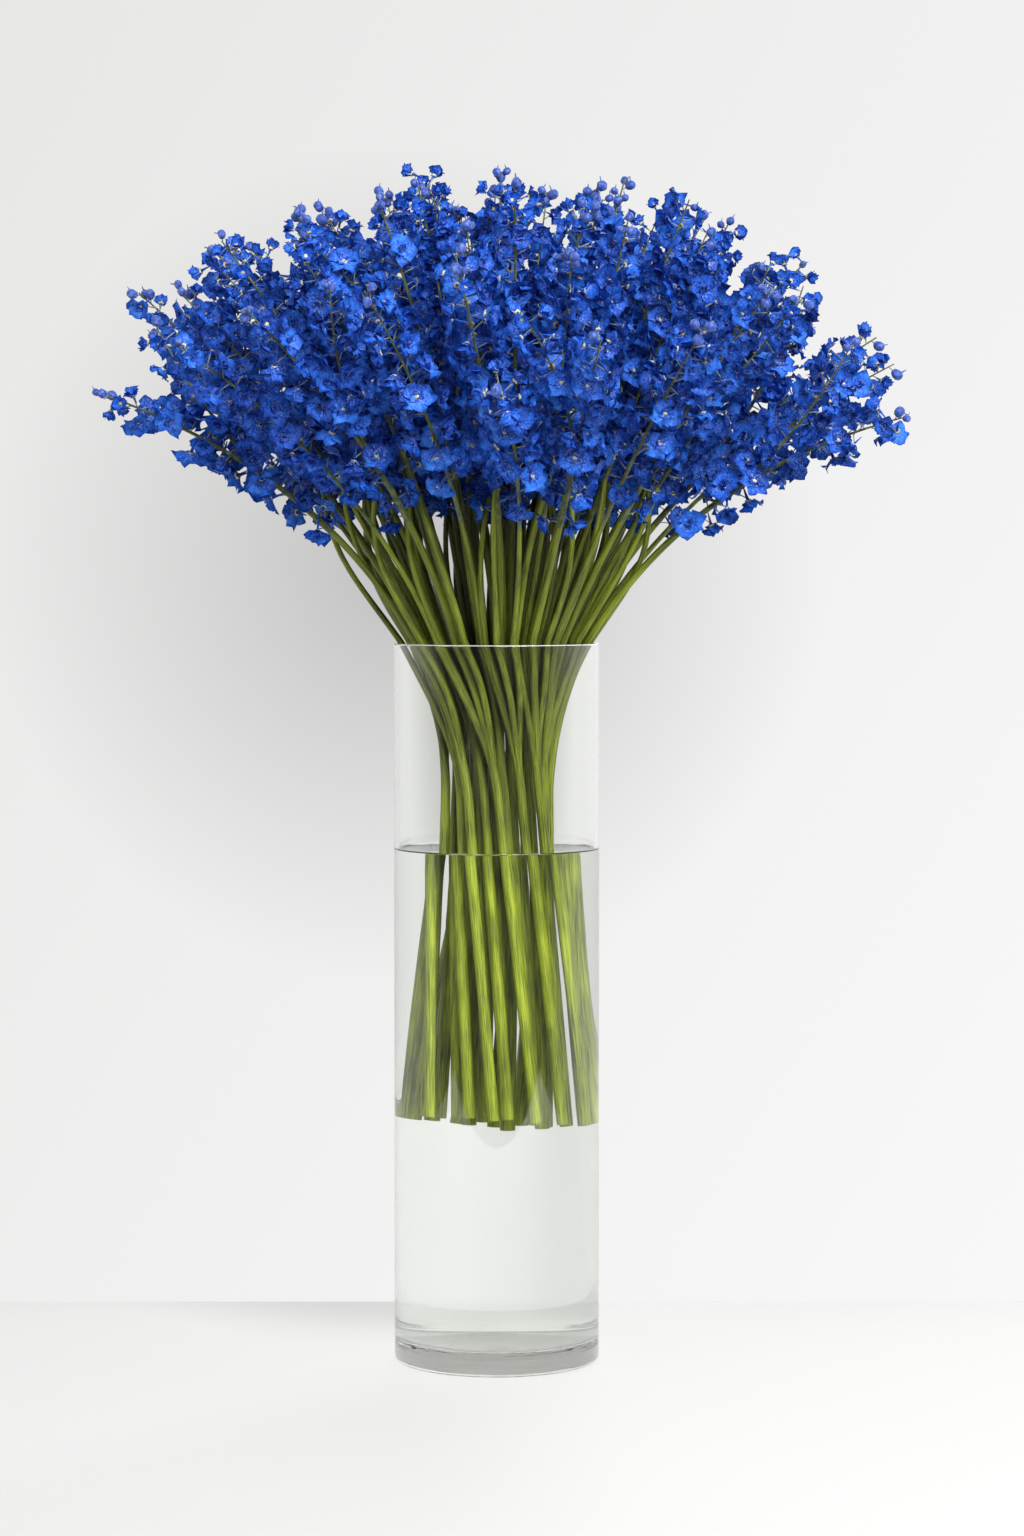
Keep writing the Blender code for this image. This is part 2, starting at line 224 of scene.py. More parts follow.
def setBackdrop():
    # a white backdrop, painted a little brighter to the right, with the bunch's soft shadow painted on it, and a
    # dimmer room behind the camera
    v = lightValues
    world = bpy.data.worlds.new("backdrop")
    world.use_nodes = True
    world.node_tree.nodes.clear()
    way = addNode(world, "TexCoord").outputs["Generated"]
    axes = addNode(world, "SeparateXYZ", links={"Vector": way})
    slant = addNode(world, "VectorMath", {1: v["slant"]}, {0: way}, operation="DOT_PRODUCT")
    across = addNode(world, "MapRange", {"From Min": v["slantRange"][0], "From Max": v["slantRange"][1]},
                     {"Value": slant.outputs["Value"]})
    wall = addNode(world, "ValToRGB", links={"Fac": across.outputs["Result"]},
                   stops=[(0.0, v["backdropLeft"]), (1.0, v["backdropRight"])])
    # painted shadow: the backdrop dims around the direction of the bunch's soft shadow
    apart = addNode(world, "VectorMath", {1: v["shadeAt"]}, {0: way}, operation="DISTANCE")
    soft = addNode(world, "MapRange", {"From Max": v["shadeReach"], "To Min": v["shadeDepth"]},
                   {"Value": apart.outputs["Value"]})
    shade = addNode(world, "MixRGB", {"Fac": 1.0}, blend_type="MULTIPLY",
                    links={"Color1": wall.outputs["Color"], "Color2": soft.outputs["Result"]})
    # as bright as it looks where it is seen, mirrored or seen through glass, and dim where it lights things
    rays = addNode(world, "LightPath")
    clear = addNode(world, "Math", operation="MAXIMUM",
                    links={0: rays.outputs["Is Reflection Ray"], 1: rays.outputs["Is Transmission Ray"]})
    seen = addNode(world, "Math", operation="MAXIMUM",
                   links={0: rays.outputs["Is Camera Ray"], 1: clear.outputs[0]})
    early = addNode(world, "Math", {1: 0.5}, {0: rays.outputs["Diffuse Depth"]}, operation="LESS_THAN")
    whole = addNode(world, "Math", links={0: seen.outputs[0], 1: early.outputs[0]}, operation="MULTIPLY")
    indoors = addNode(world, "MapRange", {"To Min": v["roomLight"], "To Max": v["glassLight"]},
                      {"Value": rays.outputs["Is Transmission Ray"]})
    behind = addNode(world, "MapRange", {
        "From Min": v["mirrorRange"][0], "From Max": v["mirrorRange"][1], "To Min": v["mirrorLight"]},
        {"Value": axes.outputs["Y"]})
    view = addNode(world, "MapRange", {"To Min": 1.0},
                   {"Value": rays.outputs["Glossy Depth"], "To Max": behind.outputs["Result"]})
    strength = addNode(world, "MapRange", links={
        "Value": whole.outputs[0], "To Min": indoors.outputs["Result"], "To Max": view.outputs["Result"]})
    sky = addNode(world, "Background", links={
        "Color": shade.outputs["Color"], "Strength": strength.outputs["Result"]})
    addNode(world, "OutputWorld", links={"Surface": sky.outputs["Background"]})
    bpy.context.scene.world = world


def setLamps():
    # a large soft key from the right, a weak fill from the left and a faint lamp behind
    for name, values in lightValues["lamps"].items():
        lamp = bpy.data.lights.new(name, "AREA")
        lamp.energy = values["power"]
        lamp.size = values["size"]
        holder = bpy.data.objects.new(name, lamp)
        holder.location = values["place"]
        holder.visible_transmission = False  # its light passes glass straight, without bright patches
        aim = Vector(values["aim"]) - holder.location
        holder.rotation_euler = aim.to_track_quat("-Z", "Y").to_euler()
        bpy.context.scene.collection.objects.link(holder)
    bpy.context.scene.view_settings.view_transform = "Standard"
    bpy.context.scene.cycles.caustics_reflective = False
    bpy.context.scene.cycles.blur_glossy = 0.0  # blurred paths would pool light round the vase's foot


# Vase: mould-blown clear soda-lime glass with a thick base

vaseValues = {
    "radius": 0.100,
    "height": 0.700,
    "wall": 0.0045,
    "base": 0.023,
    "heel": 0.005,
    "heelSteps": 6,
    "fillet": 0.004,
    "filletSteps": 5,
    "rim": 0.0012,
    "rimSteps": 4,
    "hold": 0.0006,  # how far an edge stands beside a rounding
    "near": 0.0001,
    "sides": 128,
    "tint": "#fafbf9",
    "ior": 1.52,
    "baseTint": "#fdfef8",
    "rimTint": "#fbfdfc",
    "ripple": 0.22,
}


def clearMaterial(name, tint, ior, ripple=0.0):
    # a clear dielectric with no haze. Lamps shine through it without a dark shadow
    material = newMaterial(name)
    rays = addNode(material, "LightPath")
    waves = {}
    if ripple:
        # long flat waves as pressing leaves them, 45 mm wide and 2 mm high
        place = addNode(material, "TexCoord").outputs["Object"]
        level = addNode(material, "Mapping", {"Scale": (22, 22, 520)}, {"Vector": place})
        wave = addNode(material, "TexNoise", {"Scale": 1.0, "Detail": 2.0},
                       {"Vector": level.outputs["Vector"]})
        bump = addNode(material, "Bump", {"Strength": ripple, "Distance": 0.0008},
                       {"Height": wave.outputs["Fac"]})
        waves["Normal"] = bump.outputs["Normal"]
    clear = addNode(material, "BsdfPrincipled", {
        "Base Color": colour(tint), "Roughness": 0.0, "IOR": ior, "Transmission Weight": 1.0,
        "Specular IOR Level": 0.35}, waves)
    through = addNode(material, "BsdfTransparent")
    mixed = addNode(material, "MixShader", links={
        0: rays.outputs["Is Shadow Ray"], 1: clear.outputs["BSDF"], 2: through.outputs["BSDF"]})
    addNode(material, "OutputMaterial", links={"Surface": mixed.outputs["Shader"]})
    return material


def rimFinish():
    # the ground and polished rim: real grit, and a near-white matt colour that is a painted highlight, a soft
    # white line of light on the clear wall. Its grit is drawn 1 mm coarse
    material = newMaterial("polished_glass_rim")
    place = addNode(material, "TexCoord").outputs["Object"]
    grit = addNode(material, "TexNoise", {"Scale": 900.0, "Detail": 2.0}, {"Vector": place})
    bump = addNode(material, "Bump", {"Strength": 0.3, "Distance": 0.0002}, {"Height": grit.outputs["Fac"]})
    surface = addNode(material, "BsdfPrincipled", {
        "Base Color": colour(vaseValues["rimTint"]), "Roughness": 0.3, "IOR": vaseValues["ior"],
        "Transmission Weight": 0.35},
        {"Normal": bump.outputs["Normal"]})
    addNode(material, "OutputMaterial", links={"Surface": surface.outputs["BSDF"]})
    return material


def modelVase():
    v = vaseValues
    inner = v["radius"] - v["wall"]
    bpy.ops.object.select_all(action="DESELECT")
    bpy.ops.mesh.primitive_cylinder_add(vertices=v["sides"], radius=v["radius"], depth=v["height"],
                                        location=(0, 0, v["height"] / 2))
    vase = joinInto([bpy.context.object], "glass_vase")
    bpy.ops.object.mode_set(mode="EDIT")
    pickFaces(vase, lambda middle, normal: normal.z > 0.9)
    bpy.ops.mesh.inset(thickness=v["wall"])
    bpy.ops.mesh.extrude_region_move(TRANSFORM_OT_translate={"value": (0, 0, v["base"] - v["height"])})
    near, top = v["near"], v["height"] - v["near"]
    bpy.ops.mesh.select_mode(type="EDGE")
    pickEdges(vase, lambda end: end.z < near and end.xy.length > inner)
    bpy.ops.mesh.bevel(offset=v["heel"], segments=v["heelSteps"], affect="EDGES")
    pickEdges(vase, lambda end: abs(end.z - v["base"]) < near and abs(end.xy.length - inner) < near)
    bpy.ops.mesh.bevel(offset=v["fillet"], segments=v["filletSteps"], affect="EDGES")
    for ring in (v["radius"], inner):
        pickEdges(vase, lambda end: end.z > top and abs(end.xy.length - ring) < near)
        bpy.ops.mesh.bevel(offset=v["rim"], segments=v["rimSteps"], affect="EDGES")
    for level in (v["heel"], v["base"] + v["fillet"], v["height"] - v["rim"]):
        holdEdge(level + (v["hold"] if level < v["height"] / 2 else -v["hold"]))
    bpy.ops.object.mode_set(mode="OBJECT")
    bpy.ops.object.shade_smooth_by_angle(angle=math.radians(30))
    for finish in (clearMaterial("clear_soda_glass", v["tint"], v["ior"]), rimFinish(),
                   clearMaterial("thick_glass_base", v["baseTint"], v["ior"], v["ripple"])):
        vase.data.materials.append(finish)
    for face in vase.data.polygons:
        if face.center.z > v["height"] - v["rim"] * 0.6:
            face.material_index = 1
        elif face.center.z < v["base"] and face.center.xy.length > inner:
            face.material_index = 2
    handOver(vase, ["vase"])


# Water: clear, a little green from the stems, drawn up at the glass

waterValues = {
    "level": 0.500,
    "overlap": 0.0001,  # into the glass, so that there is no film of air between them
    "climb": 0.0018,
    "climbWidth": 0.0035,
    "climbRings": (0.25, 0.35, 0.40),
    "near": 0.001,
    "tint": "#fdfefd",
    "ior": 1.333,
}


def modelWater():
    v, w = vaseValues, waterValues
    radius = v["radius"] - v["wall"] + w["overlap"]
    floor = v["base"] - w["overlap"]
    bpy.ops.object.select_all(action="DESELECT")
    bpy.ops.mesh.primitive_cylinder_add(vertices=v["sides"], radius=radius, depth=w["level"] - floor,
                                        location=(0, 0, (w["level"] + floor) / 2))
    water = joinInto([bpy.context.object], "vase_water")
    bpy.ops.object.mode_set(mode="EDIT")
    bpy.ops.mesh.select_mode(type="EDGE")
    pickEdges(water, lambda end: end.z < floor + w["near"])
    bpy.ops.mesh.bevel(offset=v["fillet"], segments=v["filletSteps"], affect="EDGES")
    holdEdge(floor + v["fillet"] + v["hold"])
    bpy.ops.mesh.select_mode(type="FACE")
    for share in w["climbRings"]:
        pickFaces(water, lambda middle, normal: normal.z > 0.9 and middle.xy.length < w["near"])
        bpy.ops.mesh.inset(thickness=w["climbWidth"] * share)
    bpy.ops.object.mode_set(mode="OBJECT")
    for vertex in water.data.vertices:
        inward = (radius - vertex.co.xy.length) / w["climbWidth"]
        if vertex.co.z > w["level"] - w["near"] and inward < 1:
            vertex.co.z += w["climb"] * (1 - inward) ** 2
    bpy.ops.object.shade_smooth_by_angle(angle=math.radians(40))
    water.data.materials.append(clearMaterial("clear_water", w["tint"], w["ior"]))
    handOver(water, ["water"])


# The bunch's layout: a sunflower head at the waist, twisted and fanned out to a dome of tips

bunch = {
    "stems": 29,
    "shoots": 36,
    "firstAngle": math.radians(126),
    "firstShoot": math.radians(126 + 189),
    "shootReach": 0.96,
    "shootSpread": 0.99,
    "goldenAngle": math.radians(137.508),
    "cutLevel": 0.2355,
    "cutUnevenness": 0.010,
    "cutSpread": 1.43,
    "cutTurn": math.radians(30),
    "waistLevel": 0.558,
    "waistRadius": 0.054,
    "rimLevel": 0.700,
    "rimRadius": 0.0900,
    "rimSlope": 0.55,
    "rimTurn": math.radians(30),
    "kneeRadius": 0.192,
    "kneeLevel": 0.862,
    "kneeLift": 0.051,
    "domeRadius": 0.424,
    "domeHeight": 0.286,
    "domeLevel": 0.876,
    "domeUnevenness": 0.05,
    "fanTurn": math.radians(10),
    "spikeStart": 0.24,
    "spikeStartOuter": 0.13,
    "branchStart": 0.14,
    "branchSpread": 0.080,
    "branchLowest": math.radians(99),
    "branchReach": 0.95,
    "branchTries": 12,
    "branchKnee": 0.45,
}


def polar(radius, angle, level):
    return Vector((radius * math.cos(angle), radius * math.sin(angle), level))


def stemPlace(index):
    # its share of the bunch's radius and its angle. Numbers past the stems are the side shoots
    if index < bunch["stems"]:
        return math.sqrt((index + 0.5) / bunch["stems"]), bunch["firstAngle"] + index * bunch["goldenAngle"]
    index -= bunch["stems"]
    share = math.sqrt((index + 0.5) / bunch["shoots"]) * bunch["shootSpread"]
    return share, bunch["firstShoot"] + index * bunch["goldenAngle"]


def cutLevel(index):
    return bunch["cutLevel"] + bunch["cutUnevenness"] * math.sin(2.4 * index)


def belowWaist(index, level):
    share, angle = stemPlace(index)
    drop = (bunch["waistLevel"] - level) / (bunch["waistLevel"] - bunch["cutLevel"])
    turn = complex(math.cos(bunch["cutTurn"]), math.sin(bunch["cutTurn"]))
    across = complex(math.cos(angle), math.sin(angle)) * share * bunch["waistRadius"]
    across *= 1 + drop * (bunch["cutSpread"] * turn - 1)
    return Vector((across.real, across.imag, level))


def riseAt(share, angle, rise):
    height = bunch["rimLevel"] - bunch["waistLevel"]
    swing = rise * rise * (3 - 2 * rise)
    radius = bunch["waistRadius"] + (bunch["rimRadius"] - bunch["waistRadius"]) * swing
    radius += bunch["rimSlope"] * height * (rise ** 3 - rise ** 2)
    return polar(share * radius, angle - bunch["rimTurn"] * rise, bunch["waistLevel"] + height * rise)


def waistToRim(index, rise):
    return riseAt(*stemPlace(index), rise)


def domeTip(slope, angle, reach):
    centre = Vector((0, 0, bunch["kneeLevel"]))
    level = bunch["domeLevel"] + bunch["domeHeight"] * math.cos(slope)
    return centre + (polar(bunch["domeRadius"] * math.sin(slope), angle, level) - centre) * reach


def tipPlace(index):
    share, angle = stemPlace(index)
    reach = 1 - bunch["domeUnevenness"] * (0.5 + 0.5 * math.cos(5.1 * index))
    if index >= bunch["stems"]:
        reach *= bunch["shootReach"]
    return math.asin(share), angle - bunch["rimTurn"] - bunch["fanTurn"], reach


def aboveRim(index, along):
    share, angle = stemPlace(index)
    rim = polar(share * bunch["rimRadius"], angle - bunch["rimTurn"], bunch["rimLevel"])
    knee = polar(share * bunch["kneeRadius"], angle - bunch["rimTurn"],
                 bunch["kneeLevel"] + bunch["kneeLift"] * (1 - share))
    tip = domeTip(*tipPlace(index))
    return rim * (1 - along) ** 2 + knee * 2 * along * (1 - along) + tip * along ** 2


def shootNumbers():
    return range(bunch["stems"], bunch["stems"] + bunch["shoots"])


def spikeStart(index):
    return bunch["spikeStart"] + bunch["spikeStartOuter"] * stemPlace(index)[0]


def branchTips():
    # each side branch leans into the widest gap among the tips round its own stem's tip
    taken = [domeTip(*tipPlace(index)) for index in range(bunch["stems"])]
    tips = []
    for index in range(bunch["stems"]):
        slope, angle, reach = tipPlace(index)
        down = math.hypot(bunch["domeRadius"] * math.cos(slope), bunch["domeHeight"] * math.sin(slope))
        across = bunch["domeRadius"] * math.sin(slope)
        best = None
        for k in range(bunch["branchTries"]):
            lean = math.tau * k / bunch["branchTries"]
            newSlope = slope + bunch["branchSpread"] / down * math.cos(lean)
            newAngle = angle + bunch["branchSpread"] / across * math.sin(lean)
            if newSlope > bunch["branchLowest"]:
                continue
            tip = domeTip(newSlope, newAngle, reach * bunch["branchReach"])
            room = min((tip - other).length for other in taken)
            if best is None or room > best[0]:
                best = (room, tip)
        tips.append(best[1])
        taken.append(best[1])
    return tips


def branchPoint(index, tip, along):
    start = spikeStart(index) + bunch["branchStart"]
    root = aboveRim(index, start)
    heading = (aboveRim(index, start + 0.01) - root).normalized()
    knee = root + heading * (tip - root).length * bunch["branchKnee"]
    return root * (1 - along) ** 2 + knee * 2 * along * (1 - along) + tip * along ** 2


# Stems: fresh larkspur stem, juicy green with raised ribs, cut square

stemValues = {
    "sides": 16,
    "ribDepth": 0.085,
    "step": 0.012,  # between rings
    "gauge": ((0.0, 5.3), (0.40, 5.0), (0.62, 4.2), (1.0, 3.2)),  # share of the way up, radius in mm
    "slimGauge": ((0.0, 3.4), (0.5, 3.1), (1.0, 2.3)),
    "slimStems": 80,
    "slimReach": 1.027,
    "slimTop": 0.10,  # how far up the flower spike they run
    "slimTurn": math.radians(152),
    "slimKnee": 0.200,
    "slimEnd": 0.9,  # share of the dome that they head for, until they join a flower spike
    "slimJoin": 2.5,  # the higher, the later they join it
    "joints": 5,
    "jointRange": (0.3, 0.97),
    "jointSwell": 0.05,
    "jointWidth": 1.2,  # in steps
    "leastShare": 0.62,
    "shootSwing": 0.85,  # share of the way to the rim over which a side shoot leaves its stem
    "light": "#8a9526",
    "mid": "#626e16",
    "dark": "#303909",
    "paintedShadeFrom": 0.35,  # share of the bunch's radius where a stem's painted shade is deepest, and where it stops and the stem has its full colour
    "paintedShadeTo": 0.95,
    "paintedShadeLeast": 0.30,
    "paintedLightFrom": 0.62,  # painted light: the stems are painted brighter between these two levels, from under the rim down into the water
    "paintedLightTo": 0.46,
    "paintedLightGain": 0.8,
}


def ribbedProfile(sides, depth):
    bpy.ops.object.select_all(action="DESELECT")
    bpy.ops.mesh.primitive_circle_add(vertices=sides, radius=1.0)
    profile = bpy.context.object
    for vertex in list(profile.data.vertices)[::2]:
        vertex.co *= 1 - depth
    bpy.ops.object.convert(target="CURVE")
    profile = bpy.context.object
    profile.name = f"profile_{sides}"
    return profile


def drawTube(name, run, profile, share=1.0):
    # a closed tube along a run of (point, radius), marked with its share of the bunch's radius
    curve = bpy.data.curves.new(name, "CURVE")
    curve.dimensions = "3D"
    curve.bevel_mode = "OBJECT"
    curve.bevel_object = profile
    curve.use_fill_caps = True
    spline = curve.splines.new("POLY")
    spline.points.add(len(run) - 1)
    for control, (point, radius) in zip(spline.points, run):
        control.co = (*point, 1.0)
        control.radius = radius
    tube = bpy.data.objects.new(name, curve)
    bpy.context.scene.collection.objects.link(tube)
    select([tube])
    bpy.ops.object.convert(target="MESH")
    tube = bpy.context.object
    bpy.ops.object.mode_set(mode="EDIT")
    bpy.ops.mesh.select_all(action="SELECT")
    bpy.ops.mesh.remove_doubles(threshold=0.000001)
    bpy.ops.mesh.normals_make_consistent(inside=False)
    bpy.ops.object.mode_set(mode="OBJECT")
    bpy.ops.object.shade_smooth_by_angle(angle=math.radians(50))
    marks = tube.data.attributes.new("share", "FLOAT", "POINT")
    marks.data.foreach_set("value", [share] * len(tube.data.vertices))
    return tube


def between(stops, at):
    # the value at a place between (place, value) stops
    for (low, first), (high, second) in zip(stops, stops[1:]):
        if at <= high:
            return first + (second - first) * (at - low) / (high - low)
    return stops[-1][1]


def evenPoints(path, step):
    # points a step apart on a path given as a dense list of points
    lengths = [0.0]
    for first, second in zip(path, path[1:]):
        lengths.append(lengths[-1] + (second - first).length)
    count = max(2, round(lengths[-1] / step))
    points, k = [], 0
    for place in range(count + 1):
        at = lengths[-1] * place / count
        while k < len(path) - 2 and lengths[k + 1] < at:
            k += 1
        span = lengths[k + 1] - lengths[k]
        points.append(path[k].lerp(path[k + 1], (at - lengths[k]) / span if span else 0))
    return points


def stemPath(index, start):
    # from the cut end to the foot of the flower spike
    path = [belowWaist(index, cutLevel(index)), belowWaist(index, bunch["waistLevel"])]
    path += [waistToRim(index, k / 12) for k in range(1, 13)]
    path += [aboveRim(index, start * k / 12) for k in range(1, 13)]
    return path


def partFromHost(share, angle):
    # leaves the nearest stem at the waist and swings over to its own place by the rim
    own = riseAt(share, angle, 0)
    host = min(range(bunch["stems"]), key=lambda stem: (waistToRim(stem, 0) - own).length)
    path = []
    for k in range(25):
        rise = k / 24
        swing = min(1.0, rise / stemValues["shootSwing"])
        swing *= swing * (3 - 2 * swing)
        path.append(waistToRim(host, rise).lerp(riseAt(share, angle, rise), swing))
    return path


def shootPath(index):
    start = spikeStart(index)
    return partFromHost(*stemPlace(index)) + [aboveRim(index, start * k / 12) for k in range(1, 13)]


def slimPlace(number):
    share = math.sqrt((number + 0.5) / stemValues["slimStems"]) * stemValues["slimReach"]
    return share, stemValues["slimTurn"] + number * bunch["goldenAngle"]


def slimPath(number):
    # a slim stem that fills the bunch and joins the nearest flower spike
    share, angle = slimPlace(number)
    path = partFromHost(share, angle)
    rim = path[-1]
    knee = polar(share * stemValues["slimKnee"], angle - bunch["rimTurn"], bunch["kneeLevel"])
    slope, tipAngle = math.asin(min(share, 1.0)), angle - bunch["rimTurn"] - bunch["fanTurn"]
    tip = domeTip(slope, tipAngle, stemValues["slimEnd"])
    everyStem = range(bunch["stems"] + bunch["shoots"])
    host = min(everyStem, key=lambda stem: (aboveRim(stem, 0.2) - path[-1]).length)
    top = spikeStart(host) + stemValues["slimTop"]
    for k in range(1, 15):
        along = top * k / 14
        own = rim * (1 - along) ** 2 + knee * 2 * along * (1 - along) + tip * along ** 2
        path.append(own.lerp(aboveRim(host, along), (k / 14) ** stemValues["slimJoin"]))
    return path


def stemRun(path, gauge):
    points = evenPoints(path, stemValues["step"])
    swells = sorted(chance.uniform(*stemValues["jointRange"]) for _ in range(stemValues["joints"]))
    run = []
    for place, point in enumerate(points):
        at = place / (len(points) - 1)
        near = min(abs(at - swell) for swell in swells) * len(points)
        swell = stemValues["jointSwell"] * max(0.0, 1 - near / stemValues["jointWidth"])
        run.append((point, 0.001 * between(gauge, at) * (1 + swell)))
    return run


def stemFinish():
    # living stem: a waxy skin with fine streaks, 0.8 mm apart and 45 mm long, with painted shade that darkens it
    # inside the bunch, and painted light that brightens it low in the vase
    v = stemValues
    material = newMaterial("fresh_larkspur_stem")
    place = addNode(material, "TexCoord")
    share = addNode(material, "Attribute", attribute_name="share")
    apart = addNode(material, "Math", {1: 40.0}, {0: share.outputs["Fac"]}, operation="MULTIPLY")
    along = addNode(material, "Mapping", {"Scale": (16, 34, 1)}, {"Vector": place.outputs["UV"]})
    streak = addNode(material, "TexNoise", {"Scale": 1.0, "Detail": 3.0, "Roughness": 0.6},
                     {"Vector": along.outputs["Vector"], "W": apart.outputs[0]}, noise_dimensions="4D")
    broad = addNode(material, "TexNoise", {"Scale": 14.0, "Detail": 2.0}, {"Vector": place.outputs["Object"]})
    half = addNode(material, "Mix", {"Factor": 0.3}, {2: streak.outputs["Fac"], 3: broad.outputs["Fac"]})
    green = addNode(material, "ValToRGB", links={"Fac": half.outputs[0]},
                    stops=[(0.38, v["dark"]), (0.64, v["light"]), (0.5, v["mid"])])
    # painted shade: the stems darken towards the middle of the bunch, by their share of the bunch's radius
    depth = addNode(material, "MapRange", {
        "From Min": v["paintedShadeFrom"], "From Max": v["paintedShadeTo"], "To Min": v["paintedShadeLeast"], "To Max": 1.0},
        {"Value": share.outputs["Fac"]})
    axes = addNode(material, "SeparateXYZ", links={"Vector": place.outputs["Object"]})
    # painted light: the stems brighten downwards from just under the rim into the water
    foot = addNode(material, "MapRange", {
        "From Min": v["paintedLightFrom"], "From Max": v["paintedLightTo"], "To Min": 0.0, "To Max": v["paintedLightGain"]},
        {"Value": axes.outputs["Z"]})
    both = addNode(material, "Math", operation="ADD",
                   links={0: depth.outputs["Result"], 1: foot.outputs["Result"]})
    # the stem's green times its painted shade and its painted light
    shade = addNode(material, "MixRGB", {"Fac": 1.0}, blend_type="MULTIPLY",
                    links={"Color1": green.outputs["Color"], "Color2": both.outputs[0]})
    bump = addNode(material, "Bump", {"Strength": 0.4, "Distance": 0.0005}, {"Height": streak.outputs["Fac"]})
    surface = addNode(material, "BsdfPrincipled", {"Roughness": 0.42, "Specular IOR Level": 0.4},
                      {"Base Color": shade.outputs["Color"], "Normal": bump.outputs["Normal"]})
    addNode(material, "OutputMaterial", links={"Surface": surface.outputs["BSDF"]})
    return material


def modelStems(finish):
    ribbed = ribbedProfile(stemValues["sides"], stemValues["ribDepth"])
    for index in range(bunch["stems"]):
        name = f"stem_{index + 1:02d}"
        run = stemRun(stemPath(index, spikeStart(index)), stemValues["gauge"])
        # the main stems get only part of the painted shade, however deep in the bunch they stand
        share = max(stemPlace(index)[0], stemValues["leastShare"])
        stem = drawTube("green_" + name, run, ribbed, share)
        stem.data.materials.append(finish)
        handOver(stem, [name])
    slim = [(shootPath(index), stemPlace(index)[0]) for index in shootNumbers()]
    slim += [(slimPath(number), slimPlace(number)[0]) for number in range(stemValues["slimStems"])]
    tubes = [drawTube("slim", stemRun(path, stemValues["slimGauge"]), ribbed, share) for path, share in slim]
    shoots = joinInto(tubes, "side_shoots")
    shoots.data.materials.append(finish)
    handOver(shoots)
    bpy.data.objects.remove(ribbed)


# Florets: five broad sepals round a pale eye, a spur behind, on a thin stalk

floretValues = {
    "length": 0.0150,
    "outline": ((0.0, 0.16), (0.36, 0.46), (0.70, 0.56), (1.0, 0.22)),  # share of the length, half breadth
    "crease": 0.14,
    "ruffle": 0.28,
    "frill": 0.12,
    "curl": -0.10,
    "tiltSpread": (-15, 15),  # degrees
    "turnSpread": (-7, 7),
    "lengthSpread": (0.90, 1.08),
    "breadthSpread": (0.9, 1.1),
    "innerTilt": 38,  # how much steeper the small inner petals stand, in degrees
    "innerSpread": (-10, 10),
    "innerSteepest": 86,
    "innerLength": 0.58,
    "innerBreadth": 0.9,
    "stalk": 0.0150,
    "stalkRadius": 0.0006,
    "stalkWay": (0.92, 0.40),  # out and up
    "spur": 0.0130,
    "spurRadii": (0.0017, 0.0005),
    "eyeRadii": (0.0034, 0.0022),
    "eyeLevels": (0.0006, 0.0036),
}

budValues = {
    "halfSize": (0.0058, 0.0056, 0.0066),
    "taper": 0.12,
    "lean": math.radians(52),
    "stalkWay": (0.62, 0.50),
    "spur": 0.010,
    "spurWay": (-0.35, 0, 0.95),
    "spurRadii": (0.0014, 0.0004),
    "markReach": 0.0062,  # how far from its middle a bud is marked as the edge of a petal
}


def modelSepal(length, tilt, turn, breadth=1.0, grid=(3, 3), fade=1.0):
    # a grid drawn in to a broad oval, creased down its middle, ruffled and frilled at its edges
    bpy.ops.mesh.primitive_grid_add(x_subdivisions=grid[0], y_subdivisions=grid[1], size=1,
                                    location=(0.5, 0, 0))
    sepal = joinInto([bpy.context.object], "sepal")
    marks = sepal.data.attributes.new("petal", "FLOAT_COLOR", "POINT")
    phase, shade = chance.uniform(0, math.tau), chance.random()
    for vertex, mark in zip(sepal.data.vertices, marks.data):
        along, across = vertex.co.x, vertex.co.y * 2
        mark.color = (along * fade, abs(across), shade, 1)
        half = between(floretValues["outline"], along) * breadth
        rise = floretValues["crease"] * abs(across) + floretValues["curl"] * along ** 3
        rise += floretValues["ruffle"] * math.sin(phase + 5.0 * along + 2.2 * across) * abs(across) * along
        rim = max(abs(across), along ** 3) * min(1, 3 * along)
        frill = 1 + floretValues["frill"] * chance.uniform(-1, 1) * rim
        vertex.co = (length * along * frill, length * half * across * frill, length * rise)
    sepal.data.transform(Matrix.Rotation(turn, 4, "Z") @ Matrix.Rotation(-tilt, 4, "Y"))
    return sepal


def modelCone(radius, tipRadius, start, end, sides=5):
    # a short tapered horn between two points
    axis = end - start
    bpy.ops.mesh.primitive_cone_add(vertices=sides, radius1=radius, radius2=tipRadius, depth=axis.length,
                                    end_fill_type="NGON")
    cone = bpy.context.object
    turn = axis.to_track_quat("Z", "Y").to_matrix().to_4x4()
    cone.data.transform(Matrix.Translation((start + end) / 2) @ turn)
    return cone


def markPlain(piece, along):
    # the same petal mark all over
    marks = piece.data.attributes.new("petal", "FLOAT_COLOR", "POINT")
    for mark in marks.data:
        mark.color = (along, 0, 0, 1)


